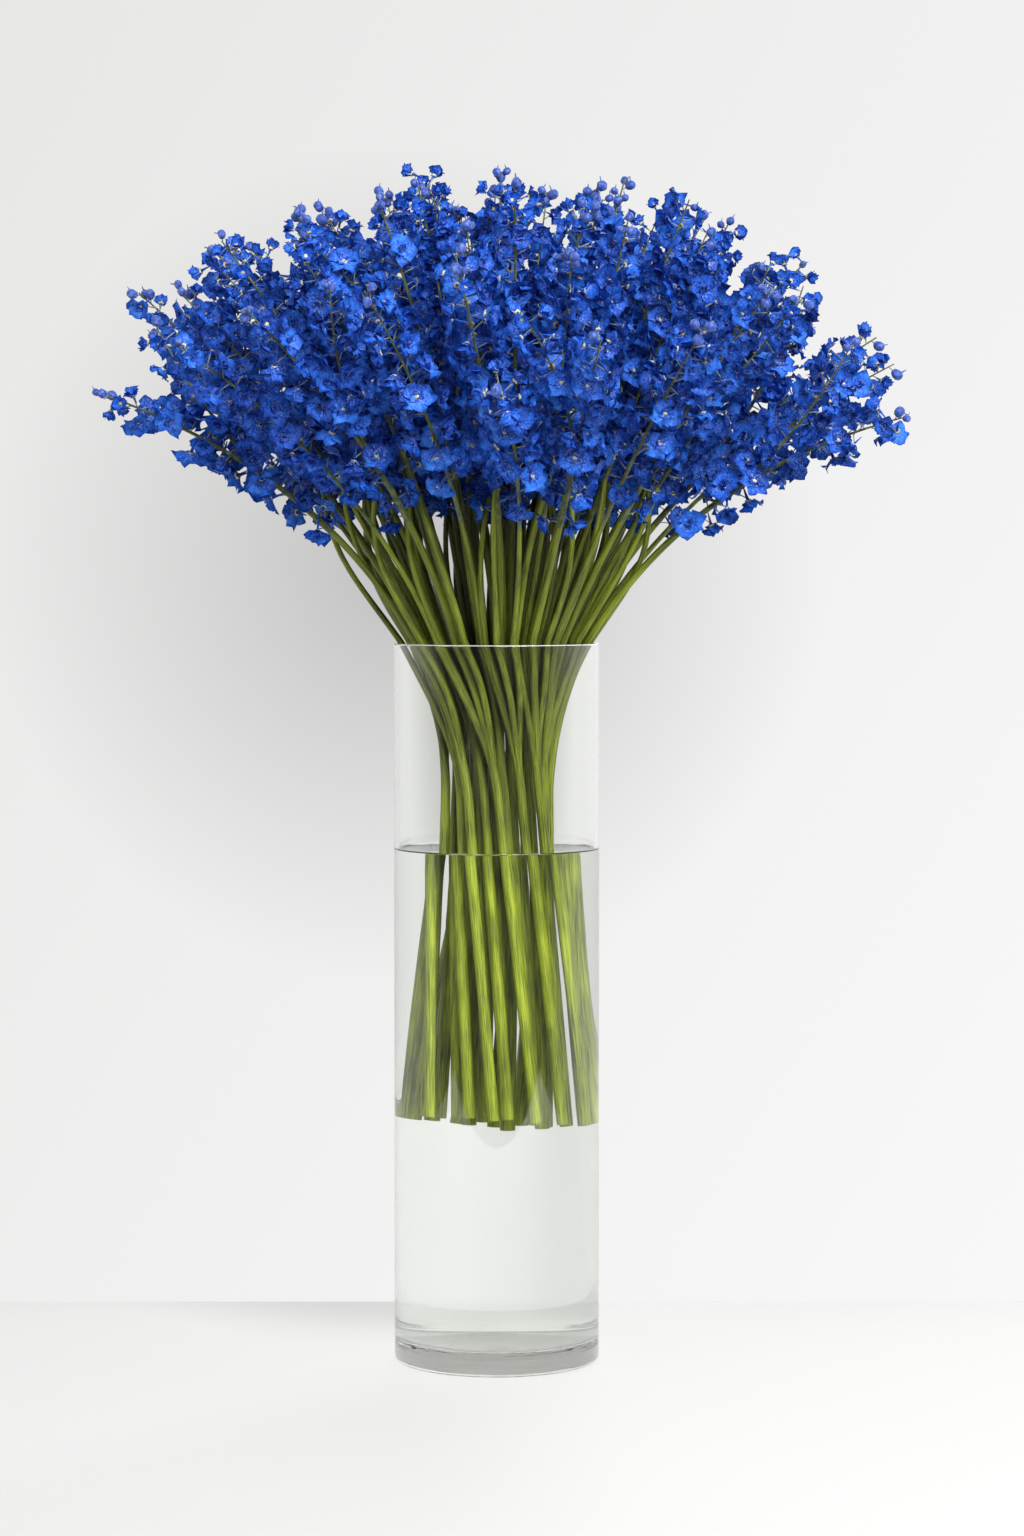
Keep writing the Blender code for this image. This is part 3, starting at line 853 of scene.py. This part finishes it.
def modelFloret(name, finishes, opening, size=1.0, inner=3, facing=12.0, eyeSize=1.0):
    # built face up, then turned to face outwards (+X) at the end of its stalk, whose foot is the origin
    v = floretValues
    length = v["length"] * size
    petals = []
    for k in range(5):
        tilt = math.radians(opening + chance.uniform(*v["tiltSpread"]))
        turn = math.radians(72 * k + chance.uniform(*v["turnSpread"]))
        long, breadth = chance.uniform(*v["lengthSpread"]), chance.uniform(*v["breadthSpread"])
        petals.append(modelSepal(length * long, tilt, turn, breadth))
    for k in range(inner):
        steep = opening + v["innerTilt"] + chance.uniform(*v["innerSpread"])
        tilt, turn = math.radians(min(steep, v["innerSteepest"])), math.radians(120 * k + 36)
        petals.append(modelSepal(length * v["innerLength"], tilt, turn, v["innerBreadth"], (2, 1), 0.5))
    for petal in petals:
        petal.data.materials.append(finishes["petal"])
    spur = modelCone(*v["spurRadii"], Vector((0, 0, 0.001)),
                     Vector((0, 0.25, -1)).normalized() * v["spur"] * size, 4)
    markPlain(spur, 0.7)
    spur.data.materials.append(finishes["petal"])
    low, high = (Vector((0, 0, level)) for level in v["eyeLevels"])
    eye = modelCone(v["eyeRadii"][0] * eyeSize, v["eyeRadii"][1] * eyeSize, low, high, 5)
    markPlain(eye, 0.0)
    eye.data.materials.append(finishes["eye"])
    reach = Vector((v["stalk"] * v["stalkWay"][0], 0, v["stalk"] * v["stalkWay"][1]))
    face = Matrix.Rotation(math.radians(90 - facing), 4, "Y")
    for part in petals + [spur, eye]:
        part.data.transform(Matrix.Translation(reach) @ face)
    stalk = modelStalk(v["stalkRadius"] * 1.3, reach - Vector((0.001, 0, 0)), finishes)
    return finishFloret(joinInto(petals + [spur, eye, stalk], name))


def modelStalk(radius, end, finishes):
    # from the flower's axis to the floret or bud, thinner towards it
    stalk = modelCone(radius, floretValues["stalkRadius"], Vector((0, 0, 0)), end, 3)
    markPlain(stalk, 1.0)
    stalk.data.materials.append(finishes["stalk"])
    return stalk


def modelBud(name, finishes, size):
    # a closed bud: a plump drop with its spur, on a stalk
    v = budValues
    bpy.ops.mesh.primitive_uv_sphere_add(segments=6, ring_count=5, radius=1.0)
    bud = bpy.context.object
    for vertex in bud.data.vertices:
        vertex.co.x *= v["halfSize"][0] * size
        vertex.co.y *= v["halfSize"][1] * size
        vertex.co.z *= v["halfSize"][2] * size * (1 - v["taper"] * vertex.co.z)
    out, up = (floretValues["stalk"] * share * size for share in v["stalkWay"])
    reach = Vector((out, 0, up))
    bud.data.transform(Matrix.Translation(reach) @ Matrix.Rotation(v["lean"], 4, "Y"))
    marks = bud.data.attributes.new("petal", "FLOAT_COLOR", "POINT")
    for vertex, mark in zip(bud.data.vertices, marks.data):
        mark.color = (min(1.0, (vertex.co - reach).length / (v["markReach"] * size)), 0.5, 0, 1)
    bud.data.materials.append(finishes["bud"])
    spur = modelCone(v["spurRadii"][0] * size, v["spurRadii"][1], reach,
                     reach + Vector(v["spurWay"]) * v["spur"] * size, 4)
    markPlain(spur, 0.6)
    spur.data.materials.append(finishes["bud"])
    stalk = modelStalk(floretValues["stalkRadius"] * 1.2, reach, finishes)
    return finishFloret(joinInto([bud, spur, stalk], name))


def finishFloret(floret):
    bpy.ops.object.mode_set(mode="EDIT")
    bpy.ops.mesh.select_all(action="SELECT")
    bpy.ops.mesh.remove_doubles(threshold=0.00001)
    bpy.ops.object.mode_set(mode="OBJECT")
    bpy.ops.object.shade_smooth()
    floret.data.attributes.new("tint", "FLOAT", "POINT")
    floret.hide_render = True
    return floret


floretColours = {
    "petalDeep": "#043290",
    "petalMid": "#0a55c8",
    "petalLight": "#2c7cec",
    "petalVeil": "#8fa8e6",
    "petalEdge": "#04206c",
    "blotchShare": 0.62,  # how much the blotches, the sepal and the floret each shift the blue
    "sepalShare": 0.30,
    "floretShare": 0.26,
    "budDark": "#112a76",
    "budMid": "#2549a0",
    "budLight": "#6379b8",
    "eyeDark": "#a9a458",
    "eyeLight": "#dedbb8",
    "stalkDark": "#2b3710",
    "stalkMid": "#475520",
    "stalkLight": "#6d7740",
    "stalkDown": "#7f8a80",
}


def petalFinish():
    # larkspur sepal: thin, matt, a saturated blue in blotches of 6 mm. It pales to lilac at the throat, in flecks
    # that are 2 mm wide, coarser than the real veins, so that they show
    c = floretColours
    material = newMaterial("larkspur_sepal")
    place = addNode(material, "TexCoord").outputs["Object"]
    petal = addNode(material, "Attribute", attribute_name="petal")
    parts = addNode(material, "SeparateColor", links={"Color": petal.outputs["Color"]})
    tint = addNode(material, "Attribute", attribute_name="tint")
    patch = addNode(material, "TexNoise", {"Scale": 170.0, "Detail": 2.0}, {"Vector": place})
    fine = addNode(material, "TexNoise", {"Scale": 520.0, "Detail": 3.0, "Roughness": 0.6}, {"Vector": place})
    own = addNode(material, "Math", {1: c["floretShare"]}, {0: tint.outputs["Fac"]}, operation="MULTIPLY")
    each = addNode(material, "Math", {1: c["sepalShare"]}, {0: parts.outputs[2], 2: own.outputs[0]},
                   operation="MULTIPLY_ADD")
    level = addNode(material, "Math", {1: c["blotchShare"]}, {0: patch.outputs["Fac"], 2: each.outputs[0]},
                    operation="MULTIPLY_ADD")
    blue = addNode(material, "ValToRGB", links={"Fac": level.outputs[0]}, stops=[
        (0.34, c["petalDeep"]), (0.86, c["petalLight"]), (0.60, c["petalMid"])])
    throat = addNode(material, "ValToRGB", links={"Fac": parts.outputs[0]}, stops=[
        (0.10, "#ffffff"), (0.95, "#545454"), (0.45, "#b0b0b0")])
    fleck = addNode(material, "ValToRGB", links={"Fac": fine.outputs["Fac"]}, stops=[
        (0.47, "#000000"), (0.62, "#ffffff")])
    veil = addNode(material, "Math", links={0: throat.outputs["Color"], 1: fleck.outputs["Color"]},
                   operation="MULTIPLY")
    shade = addNode(material, "MixRGB", {"Color2": colour(c["petalVeil"])},
                    {"Fac": veil.outputs[0], "Color1": blue.outputs["Color"]})
    edge = addNode(material, "MapRange", {"From Min": 0.76, "From Max": 1.0, "To Max": 0.75},
                   {"Value": parts.outputs[0]})
    rimmed = addNode(material, "MixRGB", {"Color2": colour(c["petalEdge"])},
                     {"Fac": edge.outputs["Result"], "Color1": shade.outputs["Color"]})
    bump = addNode(material, "Bump", {"Strength": 0.9, "Distance": 0.0012}, {"Height": fine.outputs["Fac"]})
    surface = addNode(material, "BsdfPrincipled", {"Roughness": 0.5, "Specular IOR Level": 0.2},
                      {"Base Color": rimmed.outputs["Color"], "Normal": bump.outputs["Normal"]})
    glow = addNode(material, "BsdfTranslucent", links={"Color": rimmed.outputs["Color"]})
    mixed = addNode(material, "MixShader", {0: 0.12}, {1: surface.outputs["BSDF"], 2: glow.outputs["BSDF"]})
    addNode(material, "OutputMaterial", links={"Surface": mixed.outputs["Shader"]})
    return material


def budFinish():
    # unopened sepals: duller, greyer blue with a violet bloom in clouds of 4 mm
    c = floretColours
    material = newMaterial("larkspur_bud")
    place = addNode(material, "TexCoord").outputs["Object"]
    cloud = addNode(material, "TexNoise", {"Scale": 260.0, "Detail": 3.0}, {"Vector": place})
    blue = addNode(material, "ValToRGB", links={"Fac": cloud.outputs["Fac"]}, stops=[
        (0.30, c["budDark"]), (0.72, c["budLight"]), (0.5, c["budMid"])])
    bump = addNode(material, "Bump", {"Strength": 0.4, "Distance": 0.0005}, {"Height": cloud.outputs["Fac"]})
    surface = addNode(material, "BsdfPrincipled", {"Roughness": 0.6, "Sheen Weight": 0.2},
                      {"Base Color": blue.outputs["Color"], "Normal": bump.outputs["Normal"]})
    addNode(material, "OutputMaterial", links={"Surface": surface.outputs["BSDF"]})
    return material


def eyeFinish():
    # the small inner petals: cream, flushed with yellow in flecks of 2 mm
    material = newMaterial("larkspur_eye")
    place = addNode(material, "TexCoord").outputs["Object"]
    cloud = addNode(material, "TexNoise", {"Scale": 500.0, "Detail": 2.0}, {"Vector": place})
    cream = addNode(material, "ValToRGB", links={"Fac": cloud.outputs["Fac"]}, stops=[
        (0.35, floretColours["eyeDark"]), (0.65, floretColours["eyeLight"])])
    surface = addNode(material, "BsdfPrincipled", {"Roughness": 0.6}, {"Base Color": cream.outputs["Color"]})
    addNode(material, "OutputMaterial", links={"Surface": surface.outputs["BSDF"]})
    return material


def stalkFinish():
    # flower axis and stalks: downy olive in patches of 8 mm, greyer on the thin stalks
    c = floretColours
    material = newMaterial("larkspur_stalk")
    place = addNode(material, "TexCoord").outputs["Object"]
    petal = addNode(material, "Attribute", attribute_name="petal")
    parts = addNode(material, "SeparateColor", links={"Color": petal.outputs["Color"]})
    cloud = addNode(material, "TexNoise", {"Scale": 120.0, "Detail": 4.0}, {"Vector": place})
    olive = addNode(material, "ValToRGB", links={"Fac": cloud.outputs["Fac"]}, stops=[
        (0.30, c["stalkDark"]), (0.75, c["stalkLight"]), (0.5, c["stalkMid"])])
    thin = addNode(material, "MapRange", {"From Min": 0.6}, {"Value": parts.outputs[0]})
    shade = addNode(material, "MixRGB", {"Color2": colour(c["stalkDown"])},
                    {"Fac": thin.outputs["Result"], "Color1": olive.outputs["Color"]})
    surface = addNode(material, "BsdfPrincipled", {"Roughness": 0.6, "Sheen Weight": 0.25},
                      {"Base Color": shade.outputs["Color"]})
    addNode(material, "OutputMaterial", links={"Surface": surface.outputs["BSDF"]})
    return material


# Flower spikes: florets set in a golden-angle spiral on each axis, open below, in bud at the tip

spikeValues = {
    "axisSides": 6,
    "axisStep": 0.020,
    "spacing": ((0.0, 0.013), (0.2, 0.0082), (0.9, 0.0064), (1.0, 0.0050)),
    "sizes": ((0.0, 0.95), (0.3, 1.08), (0.75, 1.0), (1.0, 0.86)),
    "axisGauge": ((0.0, 3.2), (0.5, 1.9), (1.0, 0.7)),  # radius in mm
    "branchGauge": ((0.0, 2.2), (0.5, 1.4), (1.0, 0.6)),
    "wobble": math.radians(36),
    "fineStep": 0.002,  # between the points at which a floret may sit
    "firstFloret": 0.006,
    "spiralTurn": math.radians(137.5),
    "stageSpread": (-0.04, 0.04),
    "sizeSpread": (0.88, 1.12),
    "spacingSpread": (0.85, 1.15),
    "openTo": (0.84, 0.95),  # how far up the spike the florets are open, and half open
    "halfTo": (0.92, 0.98),
    "bareBranch": 8,  # path points without florets at the foot of a side branch, and of a shoot's spike
    "bareShoot": 6,
}


def setFlorets(path, side, florets, spread):
    # copies of the florets along one axis; the axis runs through path, side is across its plane
    v = spikeValues
    points = evenPoints(path, v["fineStep"])
    total = v["fineStep"] * (len(points) - 1)
    copies, at, roll = [], v["firstFloret"], chance.uniform(0, math.tau)
    while at < total:
        share = at / total
        place = min(int(at / total * (len(points) - 1)), len(points) - 2)
        forward = (points[place + 1] - points[place]).normalized()
        across = (side - forward * side.dot(forward)).normalized()
        out = Matrix.Rotation(roll, 3, forward) @ across
        wobble = Matrix.Rotation(chance.uniform(-v["wobble"], v["wobble"]), 3, across)
        wobble = wobble @ Matrix.Rotation(chance.uniform(-v["wobble"], v["wobble"]), 3, forward)
        axes = wobble @ Matrix((out, forward.cross(out), forward)).transposed()
        stage = share + chance.uniform(*v["stageSpread"])
        kind = "open" if stage < spread[0] else "half" if stage < spread[1] else "bud"
        size = between(v["sizes"], share) * chance.uniform(*v["sizeSpread"])
        source = chance.choice(florets[kind])
        copy = source.copy()
        copy.data = source.data.copy()
        copy.hide_render = False
        values = [chance.random()] * len(copy.data.vertices)
        copy.data.attributes["tint"].data.foreach_set("value", values)
        copy.data.transform(Matrix.Translation(points[place]) @ axes.to_4x4() @ Matrix.Scale(size, 4))
        bpy.context.scene.collection.objects.link(copy)
        copies.append(copy)
        roll += v["spiralTurn"]
        at += between(v["spacing"], share) * chance.uniform(*v["spacingSpread"])
    return copies


def setAxis(path, gauge, profile, finish):
    points = evenPoints(path, spikeValues["axisStep"])
    run = [(point, 0.001 * between(gauge, k / (len(points) - 1))) for k, point in enumerate(points)]
    axis = drawTube("axis", run, profile)
    axis.data.materials.append(finish)
    markPlain(axis, 0.5)
    axis.data.attributes.new("tint", "FLOAT", "POINT")
    return axis


def modelFlorets(finishes):
    # five open florets that face from forwards to upwards, two half open ones and two buds
    return {
        "open": [modelFloret(f"open_{k}", finishes, 16 + 8 * k, 1.0, 3, 26 - 14 * k, 1.0 - 0.3 * (k % 3))
                 for k in range(5)],
        "half": [modelFloret(f"half_{k}", finishes, 52 + 9 * k, 0.82, 0, 24) for k in range(2)],
        "bud": [modelBud(f"bud_{k}", finishes, 1.0 - 0.2 * k) for k in range(2)],
    }


def modelSpikes(finishes):
    # a stem's spike has a side branch and stands for its plain solid. A shoot's is slimmer, with no branch
    v = spikeValues
    florets = modelFlorets(finishes)
    profile = ribbedProfile(v["axisSides"], 0.0)
    tips = branchTips()
    dense = [k / 40 for k in range(41)]
    for index in range(bunch["stems"] + bunch["shoots"]):
        isShoot = index >= bunch["stems"]
        start = spikeStart(index)
        angle = tipPlace(index)[1]
        side = Vector((-math.sin(angle), math.cos(angle), 0))
        spread = (chance.uniform(*v["openTo"]), chance.uniform(*v["halfTo"]))
        main = [aboveRim(index, start + (1 - start) * k) for k in dense]
        if isShoot:
            parts = [setAxis(main, v["branchGauge"], profile, finishes["stalk"])]
            parts += setFlorets(main[v["bareShoot"]:], side, florets, spread)
            spike = joinInto(parts, f"shoot_spike_{index + 1 - bunch['stems']:02d}")
            handOver(spike)
        else:
            branch = [branchPoint(index, tips[index], k) for k in dense]
            parts = [setAxis(main, v["axisGauge"], profile, finishes["stalk"]),
                     setAxis(branch, v["branchGauge"], profile, finishes["stalk"])]
            parts += setFlorets(main, side, florets, spread)
            parts += setFlorets(branch[v["bareBranch"]:], side, florets, spread)
            spike = joinInto(parts, f"flowering_spike_{index + 1:02d}")
            handOver(spike, [f"spike_{index + 1:02d}"])
    for source in sum(florets.values(), []) + [profile]:
        bpy.data.objects.remove(source)


# Making it

setCamera()
setStage()
setBackdrop()
setLamps()
print("camera, stage and light set")
modelVase()
modelWater()
print("vase and water modelled")
modelStems(stemFinish())
print("stems modelled")
modelSpikes({"petal": petalFinish(), "bud": budFinish(), "eye": eyeFinish(), "stalk": stalkFinish()})
print("flower spikes modelled")
